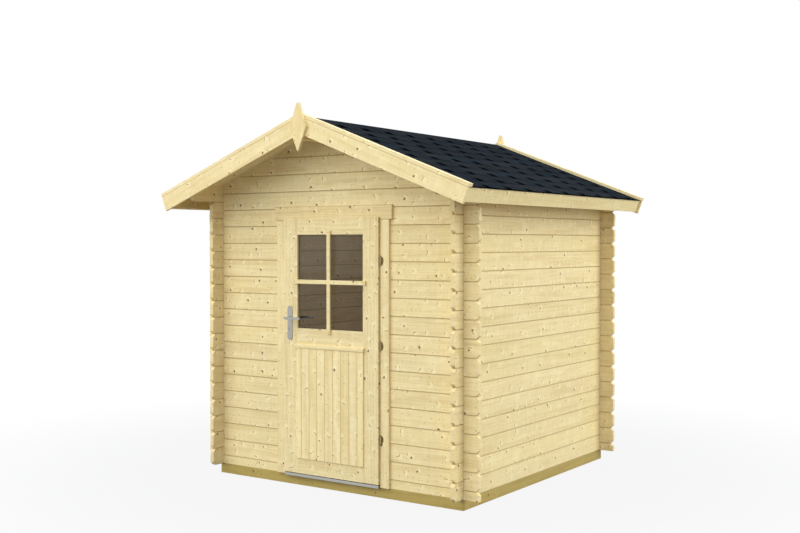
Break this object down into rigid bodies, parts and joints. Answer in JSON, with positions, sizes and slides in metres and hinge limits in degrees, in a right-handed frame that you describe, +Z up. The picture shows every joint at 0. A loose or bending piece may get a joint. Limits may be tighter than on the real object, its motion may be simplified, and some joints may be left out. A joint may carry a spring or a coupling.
{
  "type": "garden house",
  "caption": "Small log garden house with interlocking corners, an overhanging shingled gable roof and a half-glazed plank door with a lever handle.",
  "frame": {"origin": "centre of the walls' footprint on the ground, on the underside of the middle floor joist", "axes": "+Z up, +X to the right and +Y to the back as seen by a person facing the door, so the door looks towards -Y"},
  "size_m": [2.4776, 2.6, 2.5009],
  "materials": {
    "spruce_logs": "planed, untreated, knotty",
    "planed_spruce": "planed, untreated, few knots",
    "spruce_boards": "planed, untreated, knotty",
    "treated_beams": "green-brown pressure treatment",
    "bitumen_shingles": "matt, mineral-grained bitumen felt",
    "threshold_aluminium": "mill finish",
    "hinge_bronze": "bronze-coloured plating",
    "handle_steel": "satin",
    "window_glass": "clear float glass"
  },
  "bodies": {
    "house": {"front_base_beam": "treated_beams", "back_base_beam": "treated_beams", "side_base_beams": "treated_beams", "floor_joists": "treated_beams", "floor_boards": "spruce_boards", "front_wall_left": "spruce_logs", "front_wall_right": "spruce_logs", "front_gable": "spruce_logs", "back_wall": "spruce_logs", "back_gable": "spruce_logs", "left_wall": "spruce_logs", "right_wall": "spruce_logs", "left_plate_log": "spruce_logs", "right_plate_log": "spruce_logs", "ridge_purlin": "spruce_logs", "left_roof_boards": "spruce_boards", "right_roof_boards": "spruce_boards", "left_shingles": "bitumen_shingles", "right_shingles": "bitumen_shingles", "ridge_cap": "bitumen_shingles", "front_left_bargeboard": "planed_spruce", "front_right_bargeboard": "planed_spruce", "back_left_bargeboard": "planed_spruce", "back_right_bargeboard": "planed_spruce", "front_cap_strips": "planed_spruce", "back_cap_strips": "planed_spruce", "left_fascia": "planed_spruce", "right_fascia": "planed_spruce", "front_finial": "planed_spruce", "back_finial": "planed_spruce", "door_jambs": "planed_spruce", "door_frame_head": "planed_spruce", "door_side_trims": "planed_spruce", "door_head_trim": "planed_spruce", "door_threshold": "threshold_aluminium", "frame_hinges": "hinge_bronze"},
    "door": {"door_stiles": "planed_spruce", "door_rails": "planed_spruce", "door_planks": "planed_spruce", "door_drip_rail": "planed_spruce", "door_glass": "window_glass", "glazing_bars": "planed_spruce", "leaf_hinges": "hinge_bronze", "handle_plates": "handle_steel"},
    "lever": {"lever_handle": "handle_steel"}
  },
  "joints": [
    {"name": "door_hinge", "type": "hinge", "parent": "house", "child": "door", "pos_m": [0.398, -1.02, 0], "axis": [0, 0, 1], "range_deg": [0, 100]},
    {"name": "lever_turn", "type": "hinge", "parent": "door", "child": "lever", "pos_m": [-0.334, -1.02, 1.124], "axis": [0, 1, 0], "range_deg": [0, 40], "stiffness_Nm_per_rad": 1, "springref_deg": -34.38}
  ]
}
